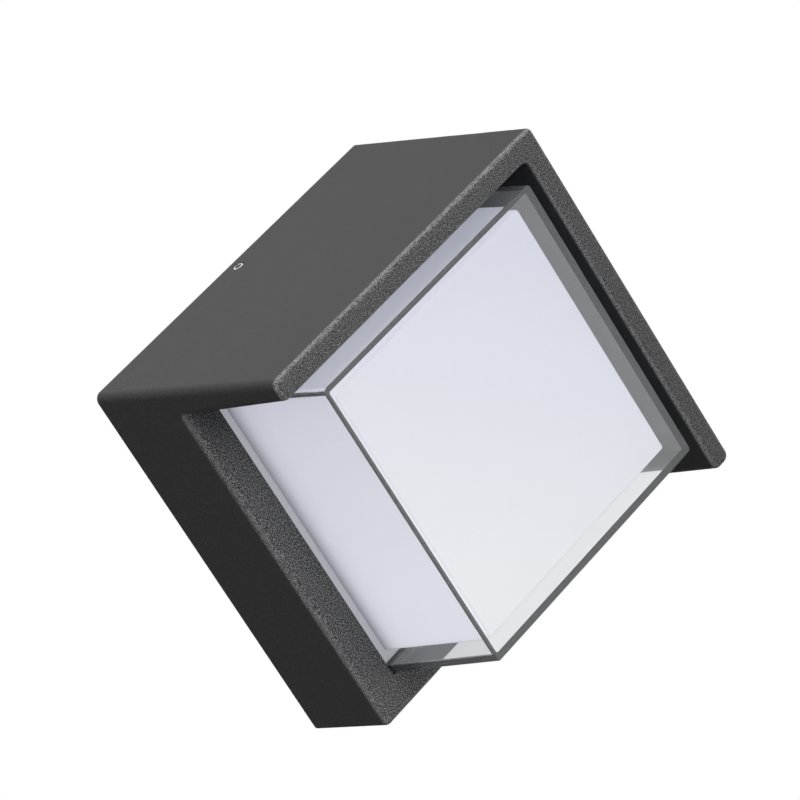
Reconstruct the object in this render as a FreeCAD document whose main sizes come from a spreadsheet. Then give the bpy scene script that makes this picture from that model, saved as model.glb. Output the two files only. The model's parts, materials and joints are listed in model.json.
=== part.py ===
import FreeCAD, Part
import Sketcher
import math
import os
import re

from FreeCAD import Placement, Rotation, Vector

# Outdoor wall lantern, in millimetres.
# The wall is the plane y = 0 and the lantern faces -Y, +Z is up, and the origin is the middle of the
# wall bracket's back face. The square housing hangs corner up, so every piece is drawn in a frame
# whose x and z run along the square's sides, and is then tilted by 45 degrees about Y.
# In that frame +z is the upper-left side, +x the upper-right side, and "depth" is measured from the
# wall towards the front, along -y.

os.makedirs("parts", exist_ok=True)
doc = FreeCAD.newDocument("wall_lantern")
TILT = Placement(Vector(0, 0, 0), Rotation(Vector(0, 1, 0), -45))
FORWARD = Rotation(Vector(1, 0, 0), 90)
BACKWARD = Rotation(Vector(1, 0, 0), -90)
pieces = []

# ---------------------------------------------------------------- driving dimensions

SIZES = [
    # die-cast housing
    ("housing_side", 160, "side of the square housing at the wall"),
    ("hood_depth", 103, "wall to the hood's front rim"),
    ("base_depth", 44, "wall to the front face of the base box"),
    ("housing_inset", 2.8, "casting draft: how far each side closes in over the hood's depth"),
    ("hood_inner_front", 68.2, "middle to the hood's inner face, at the front rim"),
    ("hood_inner_root", 67, "middle to the hood's inner face, at the base"),
    ("housing_round", 2.2, "rounding of the housing's outer edges"),
    ("free_end_round", 3.2, "rounding of the corners at the hood's free ends"),
    ("hood_inner_round", 3, "rounding of the hood's inner corner"),
    ("root_round", 1.6, "rounding where the hood meets the base's front face"),
    ("rear_half", 76.4, "half width of the rear wiring space"),
    ("middle_half", 73, "half width of the driver compartment"),
    ("flange_half", 69.2, "half width of the seat for the cover's flange"),
    ("opening_half", 65.1, "half width of the square opening for the cover"),
    ("rear_ledge", 20, "depth of the ledge for the rear cover"),
    ("plate_ledge", 38, "depth of the ledge for the mounting plate"),
    ("face_back", 42, "depth of the base face's inner side"),
    ("post_place", 68.6, "middle to the corner posts, both ways"),
    ("post_radius", 5.2, "corner post"),
    ("groove_inner", 77.3, "seal groove in the rear rim, inner half width"),
    ("groove_outer", 79, "seal groove, outer half width"),
    ("groove_depth", 1.5, "seal groove"),
    ("post_gap", 0.2, "gap between a corner post and the mounting plate"),
    ("post_thread_deep", 9, "thread in a corner post"),
    ("ledge_thread_deep", 5, "thread in the mounting plate's ledge"),
    # clear outer cover
    ("cover_foot_half", 64.6, "half width of the clear cover at the base's front face"),
    ("cover_front_half", 61.9, "half width of the clear cover at its front"),
    ("cover_front", 104, "wall to the clear cover's front"),
    ("cover_wall", 2.5, "clear cover's wall"),
    ("cover_flange", 2.5, "thickness of the cover's flange"),
    ("cover_round", 1.5, "rounding of the cover's long edges"),
    ("cover_front_round", 0.5, "rounding of the cover's front edges"),
    ("cover_inner_round", 0.8, "rounding of the cover's inner long edges"),
    ("seat_play", 0.3, "play between a plate or flange and its seat"),
    ("seal_play", 0.1, "play between the wall seal and its groove"),
    ("gasket", 1.5, "compressed thickness of the cover gasket"),
    # opal diffuser
    ("diffuser_foot_half", 58.2, "half width of the diffuser on the mounting plate"),
    ("diffuser_front_half", 55.7, "half width of the diffuser at its front"),
    ("diffuser_front", 97.6, "wall to the diffuser's front"),
    ("diffuser_wall", 2, "diffuser's wall"),
    ("diffuser_flange_half", 61.6, "half width of the diffuser's flange"),
    ("diffuser_flange", 1.5, "thickness of the diffuser's flange"),
    ("diffuser_round", 1.2, "rounding of the diffuser's edges"),
    ("diffuser_boss", 53.4, "middle to the diffuser's screw bosses, both ways"),
    ("boss_radius", 3, "diffuser's screw boss"),
    ("boss_tall", 8, "height of a screw boss"),
    ("boss_thread_deep", 6, "thread in a screw boss"),
    # plates, board and driver
    ("plate", 2, "mounting plate's thickness"),
    ("post_notch", 10.2, "corner notch of the mounting plate"),
    ("plate_screw_place", 71, "middle to the mounting plate's screws, across the side"),
    ("plate_screw_along", 35, "middle to the mounting plate's screws, along the side"),
    ("pad_side", 88, "thermal pad"),
    ("pad_thick", 0.5, "thermal pad"),
    ("board_side", 90, "light-source board"),
    ("board_thick", 1.6, "light-source board"),
    ("board_hole", 40, "middle to the board's screws, both ways"),
    ("chip_side", 3, "light-emitting chip"),
    ("chip_thick", 0.8, "light-emitting chip"),
    ("chip_pitch", 16, "spacing of the chips"),
    ("rear_cover_thick", 2, "rear cover"),
    ("rear_gasket", 1, "rear cover's gasket"),
    ("driver_left", -58, "driver's x, low end"),
    ("driver_wide", 40, "driver's width"),
    ("driver_long", 84, "driver's length"),
    ("driver_thick", 15.5, "driver's height off the mounting plate"),
    ("driver_round", 1.5, "rounding of the driver's case"),
    ("ear_thick", 2, "driver's mounting ear"),
    ("ear_half", 4, "half width of an ear, and its reach past the hole"),
    ("ear_root", 2, "how far an ear runs into the case"),
    ("connector_left", -33, "board connector's x, low end"),
    ("connector_low", -44, "board connector's z, low end"),
    ("connector_wide", 10, "board connector, across its poles"),
    ("connector_thick", 4, "board connector"),
    ("connector_long", 8, "board connector"),
    ("connector_entry", 3, "depth of the connector's wire entries"),
    ("connector_rise", 2.3, "height of the wire entries over the board"),
    # bracket and side screws
    ("bracket_thick", 2, "steel bracket"),
    ("bracket_disc", 44, "radius of the bracket's middle"),
    ("bracket_arm_half", 15, "half width of the bracket's arms"),
    ("lug_outer", 75, "middle to the lug's outer face"),
    ("lug_half", 12, "half width of a lug"),
    ("lug_reach", 12, "depth that a lug reaches"),
    ("slot_spacing", 60, "middle to middle of a pair of wall slots"),
    ("slot_length", 12, "wall slot, end to end"),
    ("slot_wide", 5, "wall slot"),
    ("cable_hole", 10, "radius of the hole for the supply cable"),
    ("side_screw_depth", 5.5, "depth of the side screws' axis"),
    ("side_screw_radius", 2.45, "set screw"),
    ("side_screw_long", 4.6, "set screw"),
    ("thread_play", 0.05, "radial play of a thread"),
    ("side_screw_chamfer", 0.4, "set screw's ends"),
    ("socket_deep", 1.8, "set screw's hexagon socket"),
    ("socket_radius", 1.45, "middle to a corner of the hexagon socket"),
    ("lug_inner_bend", 1, "inner radius of a lug's bend"),
    ("lug_outer_bend", 1.6, "outer radius of a lug's bend"),
    ("lug_tip_round", 3, "rounding of a lug's tip"),
    # screws and holes
    ("screw_crown", 0.8, "rounding of a pan head"),
    ("recess_arms", 1.1, "cross recess, tip to tip, for each millimetre of head radius"),
    ("recess_share", 0.6, "cross recess, depth for each millimetre of head height"),
    ("recess_wide", 0.6, "cross recess, width of an arm"),
    ("board_screw_slot", 0.8, "width and depth of the board screws' slots"),
    ("small_hole", 1.45, "clearance hole of a 2.5 mm screw"),
    ("clearance_hole", 1.7, "clearance hole of a 3 mm screw"),
    ("pad_hole", 1.9, "thermal pad's hole round a board screw"),
    ("overrun", 1, "how far a cutting shape passes the face it cuts"),
    # wiring
    ("lead_radius", 1.1, "insulated lead"),
    ("led_lead_radius", 0.8, "lead to the light-source board"),
    ("lead_bend", 3.5, "bend of a lead's centre line"),
    ("led_lead_bend", 3, "bend of the board leads' centre line"),
    ("lead_run", 10, "gap between the mounting plate's ledge and the leads' runs behind it"),
    ("grommet_lip", 1.2, "thickness of a grommet's lip"),
    ("plate_grommet_hole", 4.1, "radius of the mounting plate's cable hole"),
    ("plate_grommet_brim", 1.2, "width of a lip past the plate's hole"),
    ("rear_grommet_hole", 8.5, "radius of the rear cover's cable hole"),
    ("rear_grommet_brim", 1.5, "width of a lip past the rear cover's hole"),
    ("vent_cap", 5, "radius of the breather's cap"),
    ("vent_cap_tall", 3, "breather's cap"),
    ("vent_stem", 3, "radius of the breather's stem"),
    ("vent_stem_long", 5, "breather's stem"),
    ("vent_bore", 1.2, "radius of the breather's bore"),
    ("vent_play", 0.1, "radial play of the breather's stem"),
    ("block_left", -13.5, "terminal block's x, low end"),
    ("block_wide", 27, "terminal block, across its poles"),
    ("block_long", 17, "terminal block, along its poles"),
    ("block_thick", 10, "terminal block"),
    ("block_low", -41, "terminal block's z, low end"),
    ("pole_first", -8, "x of the first pole"),
    ("pole_pitch", 8, "spacing of the poles"),
    ("pole_depth", 12.2, "depth of the poles' axes"),
    ("pole_entry", 1.5, "radius of a pole's wire entry"),
    ("well_inset", 4, "end of the block to a screw well's middle"),
    ("well_radius", 1.9, "screw well"),
    ("clamp_radius", 1.8, "clamp screw"),
    ("clamp_sunk", 0.6, "how far a clamp screw sits below the block's face"),
    ("clamp_slot_wide", 0.6, "clamp screw's slot"),
    ("clamp_slot_deep", 0.9, "clamp screw's slot"),
    ("fixing_head", 2.9, "radius of the well of the block's fixing screw"),
    ("fixing_deep", 5, "depth of the well of the block's fixing screw"),
    ("block_reach", 4, "how far a lead enters the terminal block"),
    ("connector_reach", 2, "how far a lead enters the board connector"),
    # earth point
    ("ring_thick", 0.8, "ring terminal"),
    ("ring_radius", 4, "ring terminal"),
    ("ring_hole", 2.1, "hole of the ring terminal and the washer"),
    ("neck_wide", 3.2, "ring terminal's neck"),
    ("neck_long", 8, "ring terminal's neck"),
    ("barrel_radius", 1.7, "ring terminal's barrel"),
    ("barrel_start", 6, "earth screw to the barrel's near end"),
    ("barrel_long", 6, "ring terminal's barrel"),
    ("washer_radius", 3.9, "earth washer"),
    ("washer_thick", 0.6, "earth washer"),
    ("earth_first_bend", 18, "earth screw to the earth lead's first bend"),
    ("earth_second_bend", 27, "earth screw to the earth lead's second bend"),
]

# Pan-head screws: node, head radius, head height, thread radius and length.
SCREWS = [
    ("mounting_plate_screws", 1.9, 1.5, 1.25, 6),
    ("diffuser_screws", 2.2, 1.6, 1.25, 7),
    ("led_board_screws", 2.7, 1.8, 1.5, 3.9),
    ("driver_screws", 2.7, 2, 1.5, 4),
    ("rear_cover_screws", 2.8, 2, 1.5, 10),
    ("terminal_block_screw", 2.7, 2, 1.5, 8),
    ("earth_screw", 3.6, 2.4, 2, 6),
]
for label, *values in SCREWS:
    for part, value in zip(("head", "head_tall", "radius", "long"), values):
        SIZES.append((f"{label}_{part}", value, f"{label}, {part}"))

sheet = doc.addObject("Spreadsheet::Sheet", "sizes")
for row, (alias, value, note) in enumerate(SIZES, start=1):
    sheet.set(f"A{row}", note)
    sheet.set(f"B{row}", str(value))
    sheet.setAlias(f"B{row}", alias)
doc.recompute()


def size(alias):
    """A driving dimension as a number, for the few shapes that are made directly."""
    return float(sheet.get(alias))


def cells(text):
    """An expression in the sheet's aliases, as FreeCAD reads it from another object."""
    return re.sub(r"(?<![a-z_])(?!atan\b)[a-z][a-z_]+", lambda m: "sizes." + m.group(), text)


# ---------------------------------------------------------------- derived places

REAR_FACE = "(rear_ledge - rear_gasket - rear_cover_thick)"
PLATE_BACK = "(plate_ledge - plate)"
BOARD_BACK = "(plate_ledge + pad_thick)"
BOARD_FRONT = "(plate_ledge + pad_thick + board_thick)"
CONNECTOR_AXIS = f"({BOARD_FRONT} + connector_rise)"
EARTH_FACE = f"({REAR_FACE} - ring_thick - washer_thick)"
BLOCK_BACK = f"({REAR_FACE} - block_thick)"
WELL_PLACES = ("block_low + well_inset", "block_low + block_long - well_inset")
HOUSING_DRAFT = "atan(housing_inset / hood_depth)"
COVER_DRAFT = "atan((cover_foot_half - cover_front_half) / (cover_front - base_depth))"
DIFFUSER_DRAFT = "atan((diffuser_foot_half - diffuser_front_half) / (diffuser_front - plate_ledge))"

# x and z of places in the tilted frame
PLATE_GROMMET = ("-28", "-50.6")
REAR_GROMMET = ("-4", "-10")
REAR_LEADS = (("-8", "-12"), ("0", "-8"))
VENT = ("-45", "-45")
EARTH_SCREW = ("8", "18")
DRIVER_EARS = (("-25", "46.5"), ("-50", "-46.5"))
LED_LEADS = ("-30", "-26")

# Edges are picked for rounding by where they are.
TOUCH = 0.01
NEAR = 4

# ---------------------------------------------------------------- sketched bodies


def new_body(label):
    body = doc.addObject("PartDesign::Body", label)
    body.Label = label
    body.Placement = TILT
    pieces.append(body)
    return body


def origin_plane(body, role):
    return next(f for f in body.Origin.OriginFeatures if f.Role == role)


def new_sketch(body, name, depth="0", role="XZ_Plane", turn=0):
    """A sketch across the depth. Its x and y are the body's x and z, and its normal points forward."""
    sketch = body.newObject("Sketcher::SketchObject", name)
    sketch.AttachmentSupport = (origin_plane(body, role), [""])
    sketch.MapMode = "FlatFace"
    sketch.AttachmentOffset = Placement(Vector(0, 0, 0), Rotation(Vector(0, 0, 1), turn))
    sketch.setExpression("AttachmentOffset.Base.z", cells(depth))
    return sketch


GUESS = 20  # where a sketch's shapes start, before their constraints place them


def bind(sketch, constraint, value):
    index = sketch.addConstraint(constraint)
    sketch.setExpression(f"Constraints[{index}]", cells(value))


def add_rectangle(sketch, left, right, low, high):
    """A rectangle between four bound coordinates."""
    corners = [Vector(a * GUESS, b * GUESS, 0) for a, b in ((-1, -1), (1, -1), (1, 1), (-1, 1))]
    first = sketch.GeometryCount
    for start, end in zip(corners, corners[1:] + corners[:1]):
        sketch.addGeometry(Part.LineSegment(start, end), False)
    for k in range(4):
        joined = Sketcher.Constraint("Coincident", first + k, 2, first + (k + 1) % 4, 1)
        sketch.addConstraint(joined)
        sketch.addConstraint(Sketcher.Constraint(("Horizontal", "Vertical")[k % 2], first + k))
    bind(sketch, Sketcher.Constraint("DistanceX", -1, 1, first, 1, -GUESS), left)
    bind(sketch, Sketcher.Constraint("DistanceX", -1, 1, first, 2, GUESS), right)
    bind(sketch, Sketcher.Constraint("DistanceY", -1, 1, first, 1, -GUESS), low)
    bind(sketch, Sketcher.Constraint("DistanceY", -1, 1, first + 2, 1, GUESS), high)


def add_square(sketch, half):
    add_rectangle(sketch, f"-({half})", half, f"-({half})", half)


def add_circle(sketch, x, z, radius):
    index = sketch.GeometryCount
    sketch.addGeometry(Part.Circle(Vector(GUESS, GUESS, 0), Vector(0, 0, 1), GUESS / 4), False)
    bind(sketch, Sketcher.Constraint("DistanceX", -1, 1, index, 3, GUESS), x)
    bind(sketch, Sketcher.Constraint("DistanceY", -1, 1, index, 3, GUESS), z)
    bind(sketch, Sketcher.Constraint("Radius", index, 2), radius)


def sweep_depth(body, kind, sketch, length, name, backward=False, draft=None):
    """A Pad or Pocket of the sketch along the depth: forward, or backward to the wall."""
    feature = body.newObject(f"PartDesign::{kind}", name)
    feature.Profile = sketch
    feature.setExpression("Length", cells(length))
    feature.Reversed = backward if kind == "Pad" else not backward
    if draft:
        feature.setExpression("TaperAngle", cells(draft))
    sketch.Visibility = False
    doc.recompute()
    return feature


def pad(body, sketch, length, name, **options):
    before = body.Shape.Volume if body.Tip else 0
    feature = sweep_depth(body, "Pad", sketch, length, name, **options)
    assert body.Shape.Volume > before, f"{name} adds nothing"
    return feature


def pocket(body, sketch, length, name, **options):
    before = body.Shape.Volume
    feature = sweep_depth(body, "Pocket", sketch, length, name, **options)
    assert body.Shape.Volume < before - TOUCH, f"{name} cuts nothing"
    return feature


def square_pad(body, name, half, start, end, **options):
    sketch = new_sketch(body, name + "_outline", start)
    add_square(sketch, half)
    return pad(body, sketch, f"({end}) - ({start})", name, **options)


def square_pocket(body, name, half, start, end, **options):
    sketch = new_sketch(body, name + "_outline", start)
    add_square(sketch, half)
    return pocket(body, sketch, f"({end}) - ({start})", name, **options)


def round_pockets(body, name, places, radius, start, end):
    sketch = new_sketch(body, name + "_circles", start)
    for x, z in places:
        add_circle(sketch, x, z, radius)
    return pocket(body, sketch, f"({end}) - ({start})", name)


def fillet(body, name, radius, wanted):
    """Rounds the edges that wanted() picks, by the edge's middle (x, depth, z) and direction."""
    base = body.Tip
    names = []
    for index, edge in enumerate(base.Shape.Edges, start=1):
        middle = edge.valueAt((edge.FirstParameter + edge.LastParameter) / 2)
        run = edge.Vertexes[-1].Point - edge.Vertexes[0].Point
        if run.Length < TOUCH:
            continue
        run.normalize()
        if wanted(middle.x, -middle.y, middle.z, run):
            names.append(f"Edge{index}")
    assert names, f"{name} found no edges"
    feature = body.newObject("PartDesign::Fillet", name)
    feature.Base = (base, names)
    feature.setExpression("Radius", cells(radius))
    doc.recompute()
    return feature


def along_depth(run):
    return abs(run.y) > 0.99


def along_x(run):
    return abs(run.x) > 0.99


def corners_of(distance):
    return [(f"{a}({distance})", f"{b}({distance})") for a in ("", "-") for b in ("", "-")]


def side_places(across, along):
    """Eight places, two near each side of the square."""
    signs = ("", "-")
    upright = [(f"{a}({across})", f"{b}({along})") for a in signs for b in signs]
    return upright + [(z, x) for x, z in upright]


# ---------------------------------------------------------------- primitives


def primitive(kind, name, at, turn=None, **sizes):
    """A Part primitive in the tilted frame. at is x, depth and z, and sizes are bound."""
    shape = doc.addObject(f"Part::{kind}", name)
    shape.Placement = Placement(Vector(0, 0, 0), turn or Rotation())
    x, depth, z = at
    for key, value in (("x", x), ("y", f"-({depth})"), ("z", z)):
        shape.setExpression(f"Placement.Base.{key}", cells(value))
    for key, value in sizes.items():
        shape.setExpression(key, cells(value))
    return shape


def block(name, left, back, low, wide, deep, tall):
    """A box from its low x, its depth nearest the wall and its low z."""
    return primitive("Box", name, (left, f"{back} + {deep}", low), Length=wide, Width=deep, Height=tall)


def rod(name, x, back, z, radius, long):
    """A cylinder that runs forward from the depth back."""
    return primitive("Cylinder", name, (x, back, z), FORWARD, Radius=radius, Height=long)


def combine(kind, name, base, tool):
    result = doc.addObject(f"Part::{kind}", name)
    result.Base = base
    result.Tool = tool
    return result


def join(name, shapes):
    result = doc.addObject("Part::MultiFuse", name)
    result.Shapes = shapes
    return result


def group(name, shapes):
    result = doc.addObject("Part::Compound", name)
    result.Links = shapes
    return result


def finish_piece(shape, label):
    shape.Label = label
    shape.Placement = TILT
    pieces.append(shape)
    return shape


def pan_screw(label, name, x, z, seat):
    """A cross-recessed pan-head screw. It enters forward from the depth seat, head towards the wall."""
    head_radius = label + "_head"
    head_tall = label + "_head_tall"
    top = f"{seat} - {head_tall}"
    head = rod(name + "_head", x, top, z, head_radius, head_tall)
    crown = doc.addObject("Part::Fillet", name + "_crown")
    doc.recompute()
    crown.Base = head
    rear_rim = min(range(len(head.Shape.Edges)), key=lambda k: rim_order(head.Shape.Edges[k]))
    crown.Edges = [(rear_rim + 1, size("screw_crown"), size("screw_crown"))]
    shank = rod(name + "_shank", x, seat, z, label + "_radius", label + "_long")
    arm = f"({head_radius} * recess_arms)"
    deep = f"({head_tall} * recess_share)"
    cross = [
        block(f"{name}_recess_{k}", f"{x} - {wide} / 2", top, f"{z} - {tall} / 2", wide, deep, tall)
        for k, (wide, tall) in enumerate(((arm, "recess_wide"), ("recess_wide", arm)))
    ]
    recess = join(name + "_recess", cross)
    return combine("Cut", name, join(name + "_body", [crown, shank]), recess)


def rim_order(edge):
    """Sorts a rod's edges so that the circle nearest the wall comes first."""
    is_circle = isinstance(edge.Curve, Part.Circle)
    return (not is_circle, -edge.BoundBox.YMax)


def screw_group(label, places, seat):
    screws = [pan_screw(label, f"{label}_{k}", x, z, seat) for k, (x, z) in enumerate(places, start=1)]
    return finish_piece(group(label, screws), label)


# ---------------------------------------------------------------- housing


def make_housing():
    """One casting: a shallow square base box, and a hood of full depth over its two upper sides."""
    body = new_body("housing")
    square_pad(body, "block", "housing_side / 2", "0", "hood_depth", draft=f"-{HOUSING_DRAFT}")

    open_front = new_sketch(body, "open_front_outline", "hood_depth")
    add_rectangle(open_front, "-housing_side", "hood_inner_front", "-housing_side", "hood_inner_front")
    hood_draft = "-atan((hood_inner_front - hood_inner_root) / (hood_depth - base_depth))"
    pocket(body, open_front, "hood_depth - base_depth", "open_front", backward=True, draft=hood_draft)

    inner = size("hood_inner_root")
    base = size("base_depth")
    front = size("hood_depth")
    half = size("housing_side") / 2
    fillet(body, "hood_inner_corner", "hood_inner_round",
           lambda x, d, z, run: along_depth(run) and min(x, z) > inner - NEAR
           and max(x, z) < half - NEAR and d > base)
    fillet(body, "hood_root", "root_round",
           lambda x, d, z, run: abs(d - base) < TOUCH and max(x, z) > inner - NEAR
           and max(x, z) < half - NEAR and not along_depth(run))

    fillet(body, "free_ends", "free_end_round",
           lambda x, d, z, run: along_depth(run) and min(x, z) < -half + NEAR and max(x, z) > 0)

    def outer_edge(x, d, z, run):
        """The other outer edges: the lower and top corners, the hood's front rim and the base's step."""
        if d < TOUCH:
            return False
        if along_depth(run):
            return max(x, z) < -half + NEAR or min(x, z) > half - NEAR
        rim = d > front - TOUCH
        step = abs(d - base) < TOUCH and min(x, z) < -half + NEAR and max(x, z) < inner
        return rim or step

    fillet(body, "outer_edges", "housing_round", outer_edge)

    square_pocket(body, "rear_space", "rear_half", "0", "rear_ledge")
    square_pocket(body, "driver_space", "middle_half", "rear_ledge", "plate_ledge")
    square_pocket(body, "flange_seat", "flange_half", "plate_ledge", "face_back")
    square_pocket(body, "opening", "opening_half", "face_back", "base_depth + overrun")

    posts = new_sketch(body, "post_circles", "rear_ledge")
    for x, z in corners_of("post_place"):
        add_circle(posts, x, z, "post_radius")
    pad(body, posts, "plate_ledge - rear_ledge - post_gap", "posts")
    round_pockets(body, "post_threads", corners_of("post_place"), "rear_cover_screws_radius + thread_play",
                  "rear_ledge", "rear_ledge + post_thread_deep")
    round_pockets(body, "ledge_threads", side_places("plate_screw_place", "plate_screw_along"),
                  "mounting_plate_screws_radius + thread_play", "plate_ledge",
                  "plate_ledge + ledge_thread_deep")

    groove = new_sketch(body, "seal_groove_outline", "0")
    add_square(groove, "groove_inner")
    add_square(groove, "groove_outer")
    pocket(body, groove, "groove_depth", "seal_groove")

    side_holes = new_sketch(body, "side_hole_circle", "0", role="XY_Plane")
    add_circle(side_holes, "0", "-side_screw_depth", "side_screw_radius + thread_play")
    holes = body.newObject("PartDesign::Pocket", "side_holes")
    holes.Profile = side_holes
    holes.Type = 1
    holes.Midplane = True
    doc.recompute()
    return body


# ---------------------------------------------------------------- cover, diffuser and seals


def make_clear_cover():
    """Hollow clear square box, open at the back, with a flange that is clamped behind the opening."""
    body = new_body("clear_cover")
    start = "plate_ledge"
    flange_front = "(plate_ledge + cover_flange)"
    slope = "(cover_foot_half - cover_front_half) / (cover_front - base_depth)"
    spread = f"{slope} * (base_depth - plate_ledge)"
    square_pad(body, "box", f"cover_foot_half + {spread}", start, "cover_front", draft=f"-{COVER_DRAFT}")
    fillet(body, "long_edges", "cover_round", lambda x, d, z, run: along_depth(run))
    front = size("cover_front")
    fillet(body, "front_edges", "cover_front_round", lambda x, d, z, run: d > front - TOUCH)
    square_pad(body, "flange", "flange_half - seat_play", start, flange_front)
    square_pocket(body, "hollow", f"cover_foot_half + {spread} - cover_wall", start,
                  "cover_front - cover_wall", draft=f"-{COVER_DRAFT}")
    base = size("base_depth")
    fillet(body, "inner_edges", "cover_inner_round",
           lambda x, d, z, run: along_depth(run) and d > base and abs(abs(x) - abs(z)) < TOUCH)
    return body


def make_diffuser():
    """Opal square box with a thin flange inside the clear cover's foot, and four screw bosses."""
    body = new_body("diffuser")
    square_pad(body, "box", "diffuser_foot_half", "plate_ledge", "diffuser_front",
               draft=f"-{DIFFUSER_DRAFT}")
    front = size("diffuser_front")
    fillet(body, "edges", "diffuser_round",
           lambda x, d, z, run: along_depth(run) or d > front - TOUCH)
    square_pad(body, "flange", "diffuser_flange_half", "plate_ledge", "plate_ledge + diffuser_flange")
    square_pocket(body, "hollow", "diffuser_foot_half - diffuser_wall", "plate_ledge",
                  "diffuser_front - diffuser_wall", draft=f"-{DIFFUSER_DRAFT}")
    bosses = new_sketch(body, "boss_circles", "plate_ledge")
    for x, z in corners_of("diffuser_boss"):
        add_circle(bosses, x, z, "boss_radius")
    pad(body, bosses, "boss_tall", "bosses")
    round_pockets(body, "boss_threads", corners_of("diffuser_boss"), "diffuser_screws_radius + thread_play",
                  "plate_ledge", "plate_ledge + boss_thread_deep")
    return body


def make_frame_seal(label, inner, outer, start, end):
    """A flat square ring."""
    body = new_body(label)
    sketch = new_sketch(body, label + "_outline", start)
    add_square(sketch, inner)
    add_square(sketch, outer)
    pad(body, sketch, f"({end}) - ({start})", label + "_ring")
    return body


# ---------------------------------------------------------------- light source and driver


def make_mounting_plate():
    """Sheet aluminium plate that clamps the cover's flange and carries the light source and the driver."""
    body = new_body("led_mounting_plate")
    square_pad(body, "sheet", "middle_half - seat_play", PLATE_BACK, "plate_ledge")
    notches = new_sketch(body, "corner_notches_outline", PLATE_BACK)
    near = "(middle_half - post_notch)"
    far = "(middle_half + overrun)"
    for a in ("", "-"):
        for b in ("", "-"):
            xs = (near, far) if a == "" else (f"-{far}", f"-{near}")
            zs = (near, far) if b == "" else (f"-{far}", f"-{near}")
            add_rectangle(notches, xs[0], xs[1], zs[0], zs[1])
    pocket(body, notches, "plate + overrun", "corner_notches")
    edge_places = side_places("plate_screw_place", "plate_screw_along")
    for name, places, radius in (
        ("edge_holes", edge_places, "small_hole"),
        ("diffuser_holes", corners_of("diffuser_boss"), "small_hole"),
        ("board_holes", corners_of("board_hole"), "led_board_screws_radius + thread_play"),
        ("driver_holes", DRIVER_EARS, "driver_screws_radius + thread_play"),
        ("grommet_hole", [PLATE_GROMMET], "plate_grommet_hole"),
    ):
        round_pockets(body, name, places, radius, PLATE_BACK, "plate_ledge + overrun")
    return body


def make_square_sheet(label, side, start, end, hole_radius):
    body = new_body(label)
    square_pad(body, label + "_sheet", f"{side} / 2", start, end)
    round_pockets(body, label + "_holes", corners_of("board_hole"), hole_radius, start,
                  f"{end} + overrun")
    return body


def make_led_chips():
    """Chips on a five by five grid. The middle place is empty."""
    steps = range(-2, 3)
    chips = [
        block(f"chip_{column + 3}_{line + 3}", f"{column} * chip_pitch - chip_side / 2", BOARD_FRONT,
              f"{line} * chip_pitch - chip_side / 2", "chip_side", "chip_thick", "chip_side")
        for column in steps
        for line in steps
        if (column, line) != (0, 0)
    ]
    return finish_piece(group("led_chips", chips), "led_chips")


def make_led_connector():
    """Two-pole push-in connector at the board's edge."""
    shell = block("connector_shell", "connector_left", BOARD_FRONT, "connector_low", "connector_wide",
                  "connector_thick", "connector_long")
    entries = [
        rod_along_z(f"connector_entry_{k}", x, CONNECTOR_AXIS, "connector_low - overrun",
                    "led_lead_radius + 2 * thread_play", "connector_entry + overrun")
        for k, x in enumerate(LED_LEADS)
    ]
    cut = combine("Cut", "led_connector", shell, join("connector_entries", entries))
    return finish_piece(cut, "led_connector")


def rod_along_z(name, x, depth, low, radius, long):
    return primitive("Cylinder", name, (x, depth, low), None, Radius=radius, Height=long)


def make_board_screws():
    """Pan-head screws that hold the board on the plate. They enter from the front."""
    screws = []
    label = "led_board_screws"
    slot_floor = f"{BOARD_FRONT} + {label}_head_tall - board_screw_slot"
    for k, (x, z) in enumerate(corners_of("board_hole"), start=1):
        name = f"board_screw_{k}"
        head = rod(name + "_head", x, BOARD_FRONT, z, label + "_head", label + "_head_tall")
        shank = rod(name + "_shank", x, f"{BOARD_FRONT} - {label}_long", z, label + "_radius",
                    label + "_long")
        slot = block(name + "_slot", f"{x} - {label}_head", slot_floor, f"{z} - board_screw_slot / 2",
                     f"2 * {label}_head", "board_screw_slot + overrun", "board_screw_slot")
        screws.append(combine("Cut", name, join(name + "_solid", [head, shank]), slot))
    return finish_piece(group(label, screws), label)


def make_driver():
    """Potted driver case with a mounting ear at each end, on opposite corners."""
    body = new_body("led_driver")
    case = new_sketch(body, "case_outline", f"{PLATE_BACK} - driver_thick")
    add_rectangle(case, "driver_left", "driver_left + driver_wide", "-driver_long / 2", "driver_long / 2")
    pad(body, case, "driver_thick", "case")
    rear = size("plate_ledge") - size("plate") - size("driver_thick")
    fillet(body, "case_edges", "driver_round",
           lambda x, d, z, run: along_depth(run) or d < rear + TOUCH)
    (upper_x, upper_z), (lower_x, lower_z) = DRIVER_EARS
    for name, x, low, high in (
        ("upper_ear", upper_x, "driver_long / 2 - ear_root", f"{upper_z} + ear_half"),
        ("lower_ear", lower_x, f"{lower_z} - ear_half", "ear_root - driver_long / 2"),
    ):
        ear = new_sketch(body, f"{name}_outline", f"{PLATE_BACK} - ear_thick")
        add_rectangle(ear, f"{x} - ear_half", f"{x} + ear_half", low, high)
        pad(body, ear, "ear_thick", name)
    round_pockets(body, "ear_holes", DRIVER_EARS, "clearance_hole", f"{PLATE_BACK} - ear_thick - overrun",
                  f"{PLATE_BACK} + overrun")
    return body


# ---------------------------------------------------------------- rear side


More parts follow.
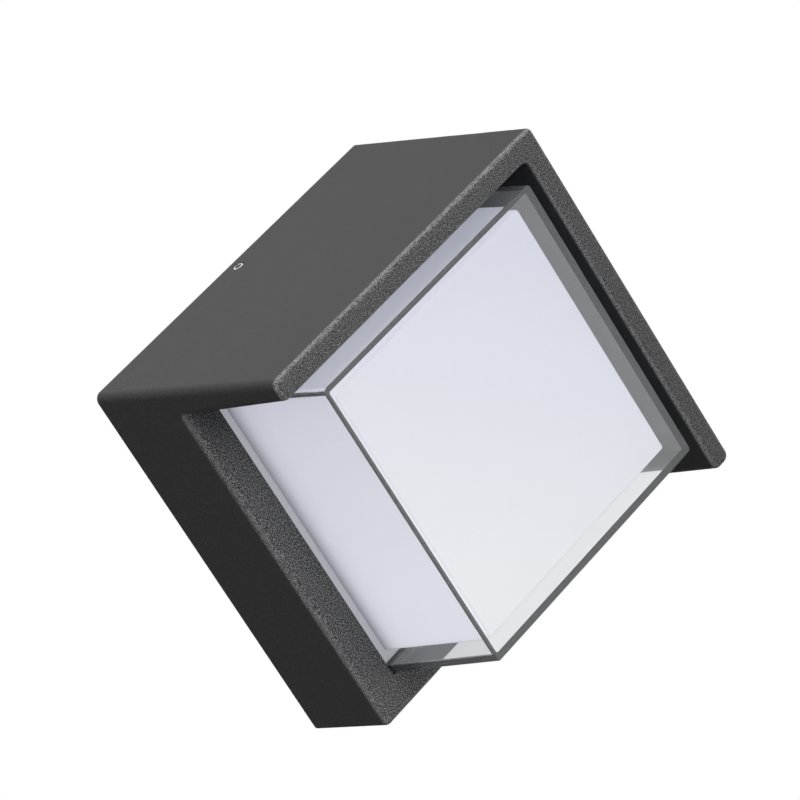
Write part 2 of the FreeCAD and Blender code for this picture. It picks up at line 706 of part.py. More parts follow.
def make_rear_cover():
    """Sheet cover that closes the driver compartment. The wiring space is behind it."""
    body = new_body("rear_cover")
    square_pad(body, "sheet", "rear_half - seat_play", REAR_FACE, "rear_ledge - rear_gasket")
    for name, places, radius in (
        ("corner_holes", corners_of("post_place"), "clearance_hole"),
        ("grommet_hole", [REAR_GROMMET], "rear_grommet_hole"),
        ("vent_hole", [VENT], "vent_stem + vent_play"),
        ("earth_thread", [EARTH_SCREW], "earth_screw_radius + thread_play"),
        ("block_thread", [block_screw_place()], "terminal_block_screw_radius + thread_play"),
    ):
        round_pockets(body, name, places, radius, REAR_FACE, "rear_ledge - rear_gasket + overrun")
    return body


def block_screw_place():
    return ("block_left + block_wide / 2 - pole_pitch / 2", "block_low + block_long / 2")


def make_grommet(label, place, sheet_back, sheet_thick, holes, lead_hole):
    """Rubber grommet: a waist in the sheet's hole, a lip on each side, and a hole for each lead."""
    x, z = place
    wide = f"{label}_hole + {label}_brim"
    waist = rod(label + "_waist", x, f"{sheet_back} - grommet_lip", z, label + "_hole",
                f"{sheet_thick} + 2 * grommet_lip")
    lips = [
        rod(label + "_rear_lip", x, f"{sheet_back} - grommet_lip", z, wide, "grommet_lip"),
        rod(label + "_front_lip", x, f"{sheet_back} + {sheet_thick}", z, wide, "grommet_lip"),
    ]
    drills = [
        rod(f"{label}_drill_{k}", hole_x, f"{sheet_back} - grommet_lip - overrun", hole_z, lead_hole,
            f"{sheet_thick} + 2 * (grommet_lip + overrun)")
        for k, (hole_x, hole_z) in enumerate(holes)
    ]
    solid = join(label + "_solid", [waist] + lips)
    return finish_piece(combine("Cut", label, solid, join(label + "_drills", drills)), label)


def make_breather_vent():
    """Screw-in breather: a round cap behind the rear cover and a hollow threaded stem through it."""
    x, z = VENT
    cap = rod("vent_cap", x, f"{REAR_FACE} - vent_cap_tall", z, "vent_cap", "vent_cap_tall")
    stem = rod("vent_stem", x, REAR_FACE, z, "vent_stem", "vent_stem_long")
    bore = rod("vent_bore", x, f"{REAR_FACE} - overrun", z, "vent_bore", "vent_stem_long + 2 * overrun")
    cut = combine("Cut", "breather_vent", join("vent_solid", [cap, stem]), bore)
    return finish_piece(cut, "breather_vent")


def pole_places():
    return [f"(pole_first + {k} * pole_pitch)" for k in range(3)]


def make_terminal_block():
    """Three-pole screw terminal block: wire entries at both ends and two screw wells on each pole."""
    shell = block("block_shell", "block_left", BLOCK_BACK, "block_low", "block_wide", "block_thick",
                  "block_long")
    before = f"{BLOCK_BACK} - overrun"
    cuts = []
    for k, x in enumerate(pole_places()):
        entry = rod_along_z(f"block_entry_{k}", x, "pole_depth", "block_low - overrun", "pole_entry",
                            "block_long + 2 * overrun")
        cuts.append(entry)
        for n, z in enumerate(WELL_PLACES):
            well = rod(f"block_well_{k}_{n}", x, before, z, "well_radius", f"pole_depth - ({before})")
            cuts.append(well)
    x, z = block_screw_place()
    cuts.append(rod("block_fixing", x, before, z, "clearance_hole", "block_thick + 2 * overrun"))
    cuts.append(rod("block_fixing_head", x, before, z, "fixing_head", "fixing_deep + overrun"))
    cut = combine("Cut", "terminal_block", shell, join("block_cuts", cuts))
    return finish_piece(cut, "terminal_block")


def make_terminal_screws():
    """Slotted clamp screws in the wells of the terminal block."""
    screws = []
    for k, x in enumerate(pole_places()):
        for n, z in enumerate(WELL_PLACES):
            name = f"clamp_screw_{k}_{n}"
            shaft = rod(name + "_shaft", x, f"{BLOCK_BACK} + clamp_sunk", z, "clamp_radius",
                        f"pole_depth - pole_entry - {BLOCK_BACK} - clamp_sunk")
            slot = block(name + "_slot", f"{x} - clamp_radius", BLOCK_BACK, f"{z} - clamp_slot_wide / 2",
                         "2 * clamp_radius", "clamp_sunk + clamp_slot_deep", "clamp_slot_wide")
            screws.append(combine("Cut", name, shaft, slot))
    return finish_piece(group("terminal_clamp_screws", screws), "terminal_clamp_screws")


def make_earth_terminal():
    """Ring terminal under the earth screw, with a barrel that takes the earth lead."""
    x, z = EARTH_SCREW
    disc_back = f"{REAR_FACE} - ring_thick"
    axis = f"{REAR_FACE} - barrel_radius"
    barrel_end = f"{z} - barrel_start - barrel_long"
    ring = rod("ring_disc", x, disc_back, z, "ring_radius", "ring_thick")
    neck = block("ring_neck", f"{x} - neck_wide / 2", disc_back, f"{z} - neck_long", "neck_wide",
                 "ring_thick", "neck_long")
    barrel = rod_along_z("ring_barrel", x, axis, barrel_end, "barrel_radius", "barrel_long")
    bore = rod_along_z("ring_barrel_bore", x, axis, f"{barrel_end} - overrun", "lead_radius", "barrel_long")
    hole = rod("ring_hole", x, f"{disc_back} - overrun", z, "ring_hole", "ring_thick + 2 * overrun")
    solid = join("ring_solid", [ring, neck, barrel])
    cut = combine("Cut", "earth_ring_terminal", solid, join("ring_cuts", [bore, hole]))
    return finish_piece(cut, "earth_ring_terminal")


def make_earth_washer():
    x, z = EARTH_SCREW
    outer = rod("washer_disc", x, EARTH_FACE, z, "washer_radius", "washer_thick")
    inner = rod("washer_hole", x, f"{EARTH_FACE} - overrun", z, "ring_hole", "washer_thick + 2 * overrun")
    return finish_piece(combine("Cut", "earth_washer", outer, inner), "earth_washer")


# ---------------------------------------------------------------- leads


def routed_wire(points, bend):
    """Straight runs between the points (x, depth, z), joined by tangent arcs of radius bend."""
    corners = [Vector(x, -depth, z) for x, depth, z in points]
    edges = []
    start = corners[0]
    for before, corner, after in zip(corners, corners[1:], corners[2:]):
        come = (corner - before).normalize()
        leave = (after - corner).normalize()
        half_turn = come.getAngle(leave) / 2
        setback = bend * math.tan(half_turn)
        enter = corner - come * setback
        exit_point = corner + leave * setback
        inward = (leave - come).normalize()
        crown = corner + inward * (bend / math.cos(half_turn) - bend)
        edges.append(Part.LineSegment(start, enter).toShape())
        edges.append(Part.Arc(enter, crown, exit_point).toShape())
        start = exit_point
    edges.append(Part.LineSegment(start, corners[-1]).toShape())
    return Part.Wire(edges)


def make_lead(label, points, radius, bend):
    """An insulated lead of round section along its route."""
    path = routed_wire(points, bend)
    start = path.Edges[0]
    direction = start.tangentAt(start.FirstParameter)
    ring = Part.Wire([Part.Circle(start.valueAt(start.FirstParameter), direction, radius).toShape()])
    solid = path.makePipeShell([ring], True, True)
    expected = math.pi * radius**2 * path.Length
    assert abs(solid.Volume / expected - 1) < TOUCH, f"{label} has the wrong volume"
    lead = doc.addObject("Part::Feature", label)
    lead.Label = label
    lead.Shape = solid
    lead.Placement = TILT
    pieces.append(lead)
    return lead


def make_leads():
    radius = size("lead_radius")
    bend = size("lead_bend")
    pole_depth = size("pole_depth")
    block_end = size("block_low") + size("block_long") - size("block_reach")
    driver_side = size("driver_left") + size("driver_wide")
    inner_run = size("plate_ledge") - size("lead_run")
    for label, place in zip(("live_lead", "neutral_lead"), REAR_LEADS):
        x, z = (float(value) for value in place)
        route = [(driver_side, inner_run, z), (x, inner_run, z), (x, pole_depth, z),
                 (x, pole_depth, block_end)]
        make_lead(label, route, radius, bend)

    x, z = (float(value) for value in EARTH_SCREW)
    rear_face = size("rear_ledge") - size("rear_gasket") - size("rear_cover_thick")
    barrel_depth = rear_face - size("barrel_radius")
    earth = [(x, barrel_depth, z - size("barrel_start") - size("overrun")),
             (x, barrel_depth, z - size("earth_first_bend")),
             (x, pole_depth, z - size("earth_second_bend")),
             (x, pole_depth, block_end)]
    make_lead("earth_lead", earth, radius, bend)

    driver_end = -size("driver_long") / 2
    grommet_z = float(PLATE_GROMMET[1])
    board_front = size("plate_ledge") + size("pad_thick") + size("board_thick")
    connector_depth = board_front + size("connector_rise")
    connector_end = size("connector_low") + size("connector_reach")
    for label, place in zip(("led_lead_positive", "led_lead_negative"), LED_LEADS):
        x = float(place)
        route = [(x, inner_run, driver_end), (x, inner_run, grommet_z), (x, connector_depth, grommet_z),
                 (x, connector_depth, connector_end)]
        make_lead(label, route, size("led_lead_radius"), size("led_lead_bend"))


# ---------------------------------------------------------------- bracket and side screws


def make_bracket():
    """Pressed steel bracket: a round middle with wall slots, two arms, and a bent lug on each arm."""
    body = new_body("wall_bracket")
    disc = new_sketch(body, "disc_outline")
    add_circle(disc, "0", "0", "bracket_disc")
    pad(body, disc, "bracket_thick", "disc")
    arms = new_sketch(body, "arms_outline")
    add_rectangle(arms, "-bracket_arm_half", "bracket_arm_half", "-lug_outer", "lug_outer")
    pad(body, arms, "bracket_thick", "arms")
    for name, low, high in (("upper", "lug_outer - bracket_thick", "lug_outer"),
                            ("lower", "-lug_outer", "bracket_thick - lug_outer")):
        lug = new_sketch(body, f"{name}_lug_outline")
        add_rectangle(lug, "-lug_half", "lug_half", low, high)
        pad(body, lug, "lug_reach", f"{name}_lug")
    outer = size("lug_outer")
    thick = size("bracket_thick")
    reach = size("lug_reach")
    fillet(body, "lug_inner_bends", "lug_inner_bend",
           lambda x, d, z, run: abs(d - thick) < TOUCH and abs(abs(z) - outer + thick) < TOUCH
           and abs(x) < NEAR)
    fillet(body, "lug_tips", "lug_tip_round",
           lambda x, d, z, run: abs(d - reach) < TOUCH and not along_x(run))
    fillet(body, "lug_outer_bends", "lug_outer_bend",
           lambda x, d, z, run: d < TOUCH and abs(abs(z) - outer) < TOUCH and along_x(run))
    for name, turn in (("level", -45), ("upright", 45)):
        slots = new_sketch(body, f"{name}_slots_outline", turn=turn)
        for sign in (1, -1):
            add_slot(slots, f"{sign} * slot_spacing / 2", "slot_length", "slot_wide")
        pocket(body, slots, "bracket_thick + overrun", f"{name}_slots")
    hole = new_sketch(body, "cable_hole_circle")
    add_circle(hole, "0", "0", "cable_hole")
    pocket(body, hole, "bracket_thick + overrun", "cable_hole")
    return body


def add_slot(sketch, middle, length, wide):
    """A round-ended slot on the sketch's x axis."""
    first = sketch.GeometryCount
    up = Vector(0, 0, 1)
    quarter = math.pi / 2
    half_long = GUESS / 5
    half_wide = GUESS / 10
    guess = -GUESS if middle.startswith("-") else GUESS
    low, high = guess - half_long, guess + half_long
    right_circle = Part.Circle(Vector(high, 0, 0), up, half_wide)
    left_circle = Part.Circle(Vector(low, 0, 0), up, half_wide)
    for shape in (
        Part.LineSegment(Vector(low, half_wide, 0), Vector(high, half_wide, 0)),
        Part.ArcOfCircle(right_circle, -quarter, quarter),
        Part.LineSegment(Vector(high, -half_wide, 0), Vector(low, -half_wide, 0)),
        Part.ArcOfCircle(left_circle, quarter, 3 * quarter),
    ):
        sketch.addGeometry(shape, False)
    top, right, bottom, left = range(first, first + 4)
    for facts in (("Tangent", top, 2, right, 2), ("Tangent", right, 1, bottom, 1),
                  ("Tangent", bottom, 2, left, 2), ("Tangent", left, 1, top, 1),
                  ("Horizontal", top), ("Horizontal", bottom), ("PointOnObject", right, 3, -1)):
        sketch.addConstraint(Sketcher.Constraint(*facts))
    reach = f"({length} - {wide}) / 2"
    bind(sketch, Sketcher.Constraint("DistanceX", -1, 1, right, 3, high), f"{middle} + {reach}")
    bind(sketch, Sketcher.Constraint("DistanceX", -1, 1, left, 3, low), f"{middle} - {reach}")
    bind(sketch, Sketcher.Constraint("Radius", right, 2), f"{wide} / 2")


def make_side_screw(label, sign):
    """Socket set screw across the housing's side. Its flat tip bears on the bracket's lug."""
    turn = Rotation() if sign > 0 else Rotation(Vector(1, 0, 0), 180)
    low = f"{sign} * (lug_outer + thread_play)"
    top = f"{sign} * (lug_outer + thread_play + side_screw_long - socket_deep)"
    at = ("0", "side_screw_depth", low)
    shaft = primitive("Cylinder", label + "_shaft", at, turn, Radius="side_screw_radius",
                      Height="side_screw_long")
    socket = primitive("Prism", label + "_socket", ("0", "side_screw_depth", top), turn,
                       Circumradius="socket_radius", Height="socket_deep + overrun")
    socket.Polygon = 6
    doc.recompute()
    tip = doc.addObject("Part::Chamfer", label + "_tip")
    tip.Base = shaft
    rims = [k + 1 for k, e in enumerate(shaft.Shape.Edges) if isinstance(e.Curve, Part.Circle)]
    chamfer = size("side_screw_chamfer")
    tip.Edges = [(k, chamfer, chamfer) for k in rims]
    return finish_piece(combine("Cut", label, tip, socket), label)


# ---------------------------------------------------------------- assembly

make_housing()
make_frame_seal("wall_seal", "groove_inner + seal_play", "groove_outer - seal_play", "0", "groove_depth")
make_clear_cover()
make_frame_seal("cover_gasket", "opening_half + seat_play", "flange_half - seat_play", "face_back - gasket",
                "face_back")
make_diffuser()
make_mounting_plate()
screw_group("mounting_plate_screws", side_places("plate_screw_place", "plate_screw_along"), PLATE_BACK)
screw_group("diffuser_screws", corners_of("diffuser_boss"), PLATE_BACK)
make_square_sheet("thermal_pad", "pad_side", "plate_ledge", BOARD_BACK, "pad_hole")
make_square_sheet("led_board", "board_side", BOARD_BACK, BOARD_FRONT, "clearance_hole")
make_led_chips()
make_led_connector()
make_board_screws()
make_driver()
screw_group("driver_screws", DRIVER_EARS, f"({PLATE_BACK} - ear_thick)")
make_rear_cover()
make_frame_seal("rear_cover_gasket", "middle_half + seat_play", "rear_half - seat_play",
                "rear_ledge - rear_gasket", "rear_ledge")
screw_group("rear_cover_screws", corners_of("post_place"), REAR_FACE)
plate_leads = [(x, PLATE_GROMMET[1]) for x in LED_LEADS]
make_grommet("plate_grommet", PLATE_GROMMET, PLATE_BACK, "plate", plate_leads, "led_lead_radius")
make_grommet("rear_grommet", REAR_GROMMET, REAR_FACE, "rear_cover_thick", REAR_LEADS,
             "lead_radius + thread_play")
make_breather_vent()
make_terminal_block()
make_terminal_screws()
screw_group("terminal_block_screw", [block_screw_place()], f"({BLOCK_BACK} + fixing_deep)")
make_earth_terminal()
make_earth_washer()
screw_group("earth_screw", [EARTH_SCREW], EARTH_FACE)
make_leads()
make_bracket()
make_side_screw("upper_side_screw", 1)
make_side_screw("lower_side_screw", -1)
doc.recompute()

failed = [obj.Label for obj in doc.Objects if {"Invalid", "Error"} & set(obj.State)]
assert not failed, f"failed objects: {failed}"
for piece in pieces:
    assert not piece.Shape.isNull() and piece.Shape.isValid(), f"{piece.Label} isn't a valid shape"
for piece in pieces:
    piece.Shape.exportStep(f"parts/{piece.Label}.step")
    print(piece.Label, len(piece.Shape.Solids), round(piece.Shape.Volume))
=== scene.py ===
import json
import math

import bpy
from mathutils import Matrix, Vector


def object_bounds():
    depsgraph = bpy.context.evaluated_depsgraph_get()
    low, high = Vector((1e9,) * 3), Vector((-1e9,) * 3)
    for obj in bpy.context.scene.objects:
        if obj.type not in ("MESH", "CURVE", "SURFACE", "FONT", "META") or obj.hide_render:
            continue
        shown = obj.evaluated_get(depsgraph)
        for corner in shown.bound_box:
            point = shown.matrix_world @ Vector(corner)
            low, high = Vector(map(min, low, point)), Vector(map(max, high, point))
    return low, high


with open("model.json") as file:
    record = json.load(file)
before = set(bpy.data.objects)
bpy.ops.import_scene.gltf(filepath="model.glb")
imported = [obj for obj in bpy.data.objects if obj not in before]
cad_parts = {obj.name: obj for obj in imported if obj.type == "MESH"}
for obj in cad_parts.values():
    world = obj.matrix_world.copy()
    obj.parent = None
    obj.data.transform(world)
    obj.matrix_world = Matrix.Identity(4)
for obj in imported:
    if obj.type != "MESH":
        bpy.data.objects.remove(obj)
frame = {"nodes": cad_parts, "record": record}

# Outdoor wall lantern, hung corner up on a wall. Metres, in the CAD frame: the wall is y = 0, the lantern
# faces -Y, +Z is up, and the origin is the middle of the wall bracket's back face.

cad_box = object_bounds()
MM = 0.001

# ---------------------------------------------------------------- camera

CAMERA_AZIMUTH = math.radians(-38.51)  # left of straight in front
CAMERA_ELEVATION = math.radians(-6.75)  # below level
CAMERA_ROLL = math.radians(3.75)  # about the camera's own axis
CAMERA_DISTANCE = 1622.0 * MM  # from the origin
CAMERA_RIGHT, CAMERA_UP = 23.94 * MM, 13.11 * MM  # moved across the view, to place the lantern in it
CAMERA_LENS, CAMERA_SENSOR = 191.25, 36  # millimetres
CAMERA_CLIP_START = 0.05


def make_camera():
    """A long lens from the front left, a little below the lantern, tipped slightly about its own axis."""
    level = math.cos(CAMERA_ELEVATION)
    back = Vector((
        math.sin(CAMERA_AZIMUTH) * level,
        -math.cos(CAMERA_AZIMUTH) * level,
        math.sin(CAMERA_ELEVATION),
    ))
    right = (-back).cross(Vector((0, 0, 1))).normalized()
    up = right.cross(-back)
    right, up = (
        math.cos(CAMERA_ROLL) * right + math.sin(CAMERA_ROLL) * up,
        math.cos(CAMERA_ROLL) * up - math.sin(CAMERA_ROLL) * right,
    )
    data = bpy.data.cameras.new("camera")
    data.sensor_width = CAMERA_SENSOR
    data.lens = CAMERA_LENS
    data.clip_start = CAMERA_CLIP_START
    camera = bpy.data.objects.new("camera", data)
    place = back * CAMERA_DISTANCE + right * CAMERA_RIGHT + up * CAMERA_UP
    turn = Matrix((right, up, back)).transposed().to_4x4()
    camera.matrix_world = Matrix.Translation(place) @ turn
    bpy.context.scene.collection.objects.link(camera)
    bpy.context.scene.camera = camera


make_camera()

# ---------------------------------------------------------------- material recipes

# Where a look changes over the lantern, in millimetres of the CAD frame, and the band that most of a
# noise's values fall in.
# Painted light on the coat: its light flecks grow bolder towards the wall and fainter towards the right.
COAT_PAINTED_LIGHT_Y = (-90, -55)  # towards the wall
COAT_PAINTED_SHADE_X = (-50, 60)  # towards the right
# Painted shade in the diffuser's glow: it is dimmer at the top and near the foot.
GLOW_SHADE_Z = (64, -64)  # down the diffuser
GLOW_SHADE_Y = (-51, -40)  # towards the diffuser's foot
NOISE_BAND = (0.3, 0.7)


def scaled(color, share):
    """A darker or lighter shade of a colour."""
    return tuple(share * channel for channel in color)


class Recipe:
    """One Principled material, with short calls for its patterns. Lengths are in millimetres."""

    def __init__(self, name, color, roughness, metallic=0.0, **sockets):
        self.material = bpy.data.materials.new(name)
        self.material.use_nodes = True
        self.tree = self.material.node_tree
        self.shader = self.tree.nodes["Principled BSDF"]
        self.place = self.node("ShaderNodeTexCoord").outputs["Object"]
        self.shader.inputs["Base Color"].default_value = (*color, 1)
        self.shader.inputs["Roughness"].default_value = roughness
        self.shader.inputs["Metallic"].default_value = metallic
        for socket, value in sockets.items():
            self.shader.inputs[socket.replace("_", " ")].default_value = value

    def node(self, kind, **settings):
        made = self.tree.nodes.new(kind)
        for key, value in settings.items():
            setattr(made, key, value)
        return made

    def link(self, source, target):
        self.tree.links.new(source, target)

    def stretched(self, stretch, tilt=0.0):
        """The object's coordinates times stretch for each millimetre, then turned by tilt degrees about Y."""
        mapping = self.node("ShaderNodeMapping", vector_type="POINT")
        mapping.inputs["Rotation"].default_value = (0, math.radians(tilt), 0)
        mapping.inputs["Scale"].default_value = [share / MM for share in stretch]
        self.link(self.place, mapping.inputs["Vector"])
        return mapping.outputs["Vector"]

    def noise(self, size, detail, roughness=0.5, stretch=(1, 1, 1), tilt=0.0):
        """Noise whose lumps are about size across, and longer along an axis by its stretch."""
        where = self.stretched([1 / (size * share) for share in stretch], tilt)
        texture = self.node("ShaderNodeTexNoise")
        texture.inputs["Scale"].default_value = 1
        texture.inputs["Detail"].default_value = detail
        texture.inputs["Roughness"].default_value = roughness
        self.link(where, texture.inputs["Vector"])
        return texture.outputs["Fac"]

    def cells(self, size):
        """Cells about size across: 0 in the middle of each, and more towards its edge."""
        where = self.stretched([1 / size] * 3)
        texture = self.node("ShaderNodeTexVoronoi", feature="F1")
        texture.inputs["Scale"].default_value = 1
        self.link(where, texture.inputs["Vector"])
        return texture.outputs["Distance"]

    def facing(self, axis):
        """How far the surface turns towards the low end of an axis: 0 for not at all, 1 for straight."""
        split = self.node("ShaderNodeSeparateXYZ")
        self.link(self.node("ShaderNodeTexCoord").outputs["Normal"], split.inputs["Vector"])
        return self.span(split.outputs[axis], 0, -1)

    def along(self, axis, low, high, start=0, end=1):
        """The place along an axis: start at low millimetres, end at high millimetres."""
        split = self.node("ShaderNodeSeparateXYZ")
        self.link(self.place, split.inputs["Vector"])
        return self.span(split.outputs[axis], low * MM, high * MM, start, end)

    def times(self, first, second):
        product = self.node("ShaderNodeMath", operation="MULTIPLY")
        self.link(first, product.inputs[0])
        self.link(second, product.inputs[1])
        return product.outputs[0]

    def span(self, value, low, high, start=0, end=1):
        """Maps low..high of a value to start..end, clamped."""
        spread = self.node("ShaderNodeMapRange", clamp=True)
        for socket, number in zip(("From Min", "From Max", "To Min", "To Max"), (low, high, start, end)):
            spread.inputs[socket].default_value = number
        self.link(value, spread.inputs["Value"])
        return spread.outputs["Result"]

    def blend(self, share, first, second):
        """A colour between two, each of them a fixed colour or another blend."""
        mix = self.node("ShaderNodeMix", data_type="RGBA")
        self.link(share, mix.inputs[0])
        for socket, color in ((mix.inputs[6], first), (mix.inputs[7], second)):
            if isinstance(color, bpy.types.NodeSocket):
                self.link(color, socket)
            else:
                socket.default_value = (*color, 1)
        return mix.outputs[2]

    def color(self, share, first, second):
        self.link(self.blend(share, first, second), self.shader.inputs["Base Color"])

    def rough(self, value, band, start, end):
        """Roughness from start to end over a band of a value."""
        self.link(self.span(value, *band, start, end), self.shader.inputs["Roughness"])

    def bump(self, height, depth, strength):
        """Shades the surface as if it rose by up to depth."""
        bump = self.node("ShaderNodeBump")
        bump.inputs["Strength"].default_value = strength
        bump.inputs["Distance"].default_value = depth * MM
        self.link(height, bump.inputs["Height"])
        self.link(bump.outputs["Normal"], self.shader.inputs["Normal"])


def sandy_coat(name, color, fleck_and_sheen_color, edge_highlight_color):
    """Textured powder coat. Its light sand-like flecks are partly painted highlight and show most on front
    faces. Its lighter edges are a painted highlight.
    """
    coat = Recipe(name, color, roughness=0.62, Specular_IOR_Level=0.25)
    grains = coat.noise(0.5, detail=3, roughness=0.8)
    front = coat.facing("Y")

    # Painted light: the flecks are bolder on front faces and towards the wall, and fainter towards the right,
    # for light that falls from the front and left.
    painted_light_wallward = coat.along("Y", *COAT_PAINTED_LIGHT_Y, start=0.7, end=1.15)
    painted_shade_rightward = coat.along("X", *COAT_PAINTED_SHADE_X, start=1, end=0.72)
    front_painted_light = coat.span(front, 0.05, 0.5, start=0.06, end=1)
    fleck_painted_light = coat.times(front_painted_light, coat.times(painted_light_wallward, painted_shade_rightward))
    flecks_and_sheen = coat.times(coat.span(grains, 0.5, 0.62), fleck_painted_light)
    ground = coat.blend(coat.span(grains, 0.36, 0.62), scaled(color, 0.55), scaled(color, 1.25))

    # An edge is where the surface faces neither the front nor a side. Its lighter colour there is a painted
    # highlight.
    edge_highlight_band = coat.times(coat.span(front, 0.1, 0.45), coat.span(front, 0.97, 0.7))
    edge_highlight = coat.times(edge_highlight_band, coat.span(grains, 0.44, 0.58, start=0.12, end=1))
    coat.color(edge_highlight, coat.blend(flecks_and_sheen, ground, fleck_and_sheen_color), edge_highlight_color)
    coat.rough(grains, NOISE_BAND, 0.5, 0.72)
    coat.bump(grains, depth=0.3, strength=0.8)
    return coat.material


def clear_moulding(name):
    """Polished clear acrylic with a trace of haze."""
    clear = Recipe(name, (0.985, 0.988, 0.995), roughness=0.0, IOR=1.49, Transmission_Weight=0.94)
    clear.bump(clear.noise(60, detail=1), depth=0.02, strength=0.1)
    return clear.material


def opal_moulding(name, color, glow):
    """Satin white plastic. Its strong glow stands in for the daylight that passes through its thin walls. Its
    glow colour holds painted light and shade: brighter at the lower left, darker at the top, on the right
    walls and near the foot.
    """
    # Glow colours, painted light and shade: the left walls glow brightest, the front face and left walls are
    # dimmer at the top, the right walls are dimmer, and the walls and flange are dimmest at the foot.
    face_top, face_bottom = (0.47, 0.48, 0.6), (0.68, 0.685, 0.7)
    left_top, left_bottom = (0.59, 0.61, 0.73), (0.9, 0.905, 1.0)
    right_wall_shade, wall_foot_shade, flange_shade = (0.3, 0.31, 0.36), (0.14, 0.145, 0.18), (0.4, 0.4, 0.43)

    opal = Recipe(name, color, roughness=0.42, Emission_Strength=glow)
    shade_fades_downward = opal.along("Z", *GLOW_SHADE_Z)
    foot_shade_mask = opal.along("Y", *GLOW_SHADE_Y)
    left_walls = opal.blend(shade_fades_downward, left_top, left_bottom)
    walls = opal.blend(opal.span(opal.facing("X"), 0, 0.7), right_wall_shade, left_walls)
    shaded_walls = opal.blend(opal.times(foot_shade_mask, foot_shade_mask), walls, wall_foot_shade)
    face = opal.blend(shade_fades_downward, face_top, face_bottom)
    face_and_flange = opal.blend(foot_shade_mask, face, flange_shade)
    glow_color = opal.blend(opal.facing("Y"), shaded_walls, face_and_flange)
    opal.link(glow_color, opal.shader.inputs["Emission Color"])

    opal.color(opal.noise(45, detail=2), scaled(color, 0.97), color)
    grain = opal.noise(0.35, detail=2)
    opal.rough(grain, NOISE_BAND, 0.36, 0.5)
    opal.bump(grain, depth=0.02, strength=0.4)
    return opal.material


def brushed_metal(name, color, roughness):
    """Rolled sheet: fine level lines and a few cloudy patches."""
    metal = Recipe(name, color, roughness, metallic=1.0)
    lines = metal.noise(0.18, detail=3, stretch=(30, 1, 1), tilt=45)
    metal.color(metal.noise(14, detail=4), scaled(color, 0.78), color)
    metal.rough(lines, NOISE_BAND, roughness - 0.08, roughness + 0.14)
    metal.bump(lines, depth=0.015, strength=0.5)
    return metal.material


def zinc_plate(name, dark, light):
    """Zinc-plated pressed steel, with soft blotches and handling marks."""
    zinc = Recipe(name, light, roughness=0.36, metallic=1.0)
    zinc.color(zinc.span(zinc.noise(9, detail=4), *NOISE_BAND), dark, light)
    zinc.rough(zinc.cells(5.5), (0.1, 0.7), 0.3, 0.44)
    zinc.bump(zinc.noise(0.4, detail=3), depth=0.01, strength=0.5)
    return zinc.material


def turned_metal(name, color, roughness):
    """Small machined or plated part."""
    metal = Recipe(name, color, roughness, metallic=1.0)
    grain = metal.noise(0.25, detail=3)
    metal.color(metal.span(metal.noise(2.2, detail=3), 0.35, 0.7), color, scaled(color, 0.6))
    metal.rough(grain, NOISE_BAND, roughness - 0.06, roughness + 0.12)
    metal.bump(grain, depth=0.01, strength=0.5)
    return metal.material


def moulded(name, color, roughness, grain_size=0.3, depth=0.02):
    """Plain moulded plastic with a light spark-eroded grain."""
    plastic = Recipe(name, color, roughness)
    grain = plastic.noise(grain_size, detail=2)
    plastic.color(plastic.noise(12, detail=2), scaled(color, 0.9), color)
    plastic.rough(grain, NOISE_BAND, roughness - 0.06, roughness + 0.08)
    plastic.bump(grain, depth, strength=0.5)
    return plastic.material


def soft_rubber(name, color, grain_size, depth):
    """Matt rubber or foam, with pores."""
    rubber = Recipe(name, color, roughness=0.8, Specular_IOR_Level=0.3)
    pores = rubber.cells(grain_size)
    rubber.color(pores, scaled(color, 0.7), color)
    rubber.rough(pores, (0.0, 0.6), 0.7, 0.92)
    rubber.bump(pores, depth, strength=0.6)
    return rubber.material


def insulation(name, color):
    """Glossy lead insulation."""
    sleeve = Recipe(name, color, roughness=0.35)
    marks = sleeve.noise(1.6, detail=3)
    sleeve.color(marks, scaled(color, 0.75), color)
    sleeve.rough(marks, NOISE_BAND, 0.28, 0.45)
    sleeve.bump(marks, depth=0.02, strength=0.3)
    return sleeve.material


def striped_insulation(name, base, stripe, pitch=1.1):
    """Earth lead: bands of two colours, pitch millimetres from the middle of one to the next."""
    sleeve = Recipe(name, base, roughness=0.35)
    split = sleeve.node("ShaderNodeSeparateXYZ")
    sleeve.link(sleeve.stretched((1, 1, 1), tilt=45), split.inputs["Vector"])
    wave = sleeve.node("ShaderNodeMath", operation="PINGPONG")
    wave.inputs[1].default_value = pitch
    sleeve.link(split.outputs["X"], wave.inputs[0])
    sleeve.color(sleeve.span(wave.outputs[0], 0.5, 0.6), base, stripe)
    sleeve.bump(sleeve.noise(1.6, detail=3), depth=0.02, strength=0.3)
    return sleeve.material


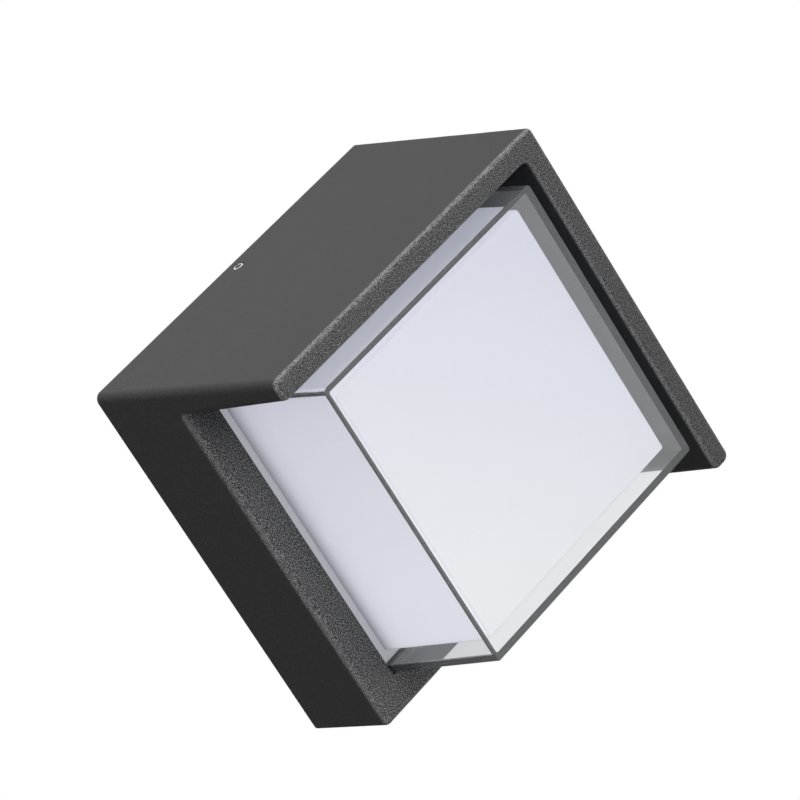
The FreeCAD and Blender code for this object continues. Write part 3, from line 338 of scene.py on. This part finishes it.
LOOKS = {
    # In a powder coat's settings the first colour is the coat's own, the second is for flecks that are partly
    # painted highlight, and the third is a painted highlight on its rounded edges.
    "housing_coat": (sandy_coat, (0.035, 0.035, 0.036), (0.4, 0.4, 0.405), (0.3, 0.3, 0.305)),
    "rear_cover_coat": (sandy_coat, (0.045, 0.045, 0.048), (0.1, 0.1, 0.1), (0.12, 0.12, 0.12)),
    "clear_acrylic": (clear_moulding,),
    "opal_plastic": (opal_moulding, (0.45, 0.46, 0.48), 0.8),
    "plate_aluminium": (brushed_metal, (0.72, 0.73, 0.74), 0.34),
    "zinc_steel": (zinc_plate, (0.5, 0.51, 0.53), (0.64, 0.64, 0.64)),
    "screw_steel": (turned_metal, (0.6, 0.6, 0.57), 0.32),
    "terminal_steel": (turned_metal, (0.66, 0.64, 0.56), 0.3),
    "stainless_steel": (turned_metal, (0.85, 0.85, 0.84), 0.16),
    "tinned_brass": (turned_metal, (0.7, 0.68, 0.62), 0.3),
    "black_foam": (soft_rubber, (0.02, 0.02, 0.021), 0.8, 0.12),
    "silicone": (soft_rubber, (0.6, 0.61, 0.61), 1.2, 0.03),
    "thermal_silicone": (soft_rubber, (0.32, 0.34, 0.38), 0.7, 0.03),
    "black_rubber": (soft_rubber, (0.016, 0.016, 0.016), 0.7, 0.04),
    "board_white": (moulded, (0.8, 0.8, 0.78), 0.3),
    "led_phosphor": (moulded, (0.85, 0.66, 0.14), 0.4),
    "connector_plastic": (moulded, (0.78, 0.78, 0.72), 0.35),
    "driver_case": (moulded, (0.76, 0.76, 0.73), 0.5, 0.5, 0.04),
    "black_nylon": (moulded, (0.02, 0.02, 0.02), 0.42),
    "terminal_nylon": (moulded, (0.78, 0.76, 0.68), 0.42),
    "lead_brown": (insulation, (0.14, 0.05, 0.02)),
    "lead_blue": (insulation, (0.02, 0.11, 0.42)),
    "lead_green": (striped_insulation, (0.05, 0.28, 0.04), (0.75, 0.62, 0.03)),
    "lead_red": (insulation, (0.5, 0.02, 0.015)),
    "lead_black": (insulation, (0.015, 0.015, 0.015)),
}
MATERIALS = {slot: recipe(slot, *settings) for slot, (recipe, *settings) in LOOKS.items()}

for part in frame["record"]["subparts"]:
    node = frame["nodes"][part["node"]]
    node.data.materials.clear()
    node.data.materials.append(MATERIALS[part["material_slot"]])

# ---------------------------------------------------------------- studio

FLOOR_HALF, FLOOR_DROP = 14.0, 1.5  # half its side, and how far it lies below the lantern
FLOOR_COLOR = (0.225, 0.225, 0.225)
LIGHT_AIM = (0, -0.05, 0)
LIGHTS = (  # name, place, side in metres, power in watts
    ("key", (-0.7, 0.5, 1.1), 1.0, 5),
    ("front", (-0.4, -1.2, 0.4), 0.5, 6),
)


def area_light(name, place, side, power):
    """A square light that points at the lantern."""
    data = bpy.data.lights.new(name, "AREA")
    data.shape = "SQUARE"
    data.size = side
    data.energy = power
    light = bpy.data.objects.new(name, data)
    direction = Vector(LIGHT_AIM) - Vector(place)
    light.matrix_world = Matrix.Translation(place) @ direction.to_track_quat("-Z", "Y").to_matrix().to_4x4()
    bpy.context.scene.collection.objects.link(light)


def make_studio():
    """White surroundings, a plain floor well below the lantern, and two soft lights at its upper left."""
    world = bpy.data.worlds.new("studio")
    world.use_nodes = True
    sky = world.node_tree.nodes["Background"]
    sky.inputs["Color"].default_value = (1, 1, 1, 1)
    sky.inputs["Strength"].default_value = 1.0
    bpy.context.scene.world = world
    bpy.context.scene.view_settings.view_transform = "Standard"

    height = cad_box[0].z - FLOOR_DROP
    mesh = bpy.data.meshes.new("floor")
    corners = [(x * FLOOR_HALF, y * FLOOR_HALF, height) for x, y in ((-1, -1), (1, -1), (1, 1), (-1, 1))]
    mesh.from_pydata(corners, [], [(0, 1, 2, 3)])
    floor = bpy.data.objects.new("floor", mesh)
    paper = Recipe("floor_paper", FLOOR_COLOR, roughness=0.8)
    paper.bump(paper.noise(3, detail=3), depth=0.1, strength=0.2)
    mesh.materials.append(paper.material)
    bpy.context.scene.collection.objects.link(floor)

    for settings in LIGHTS:
        area_light(*settings)


make_studio()
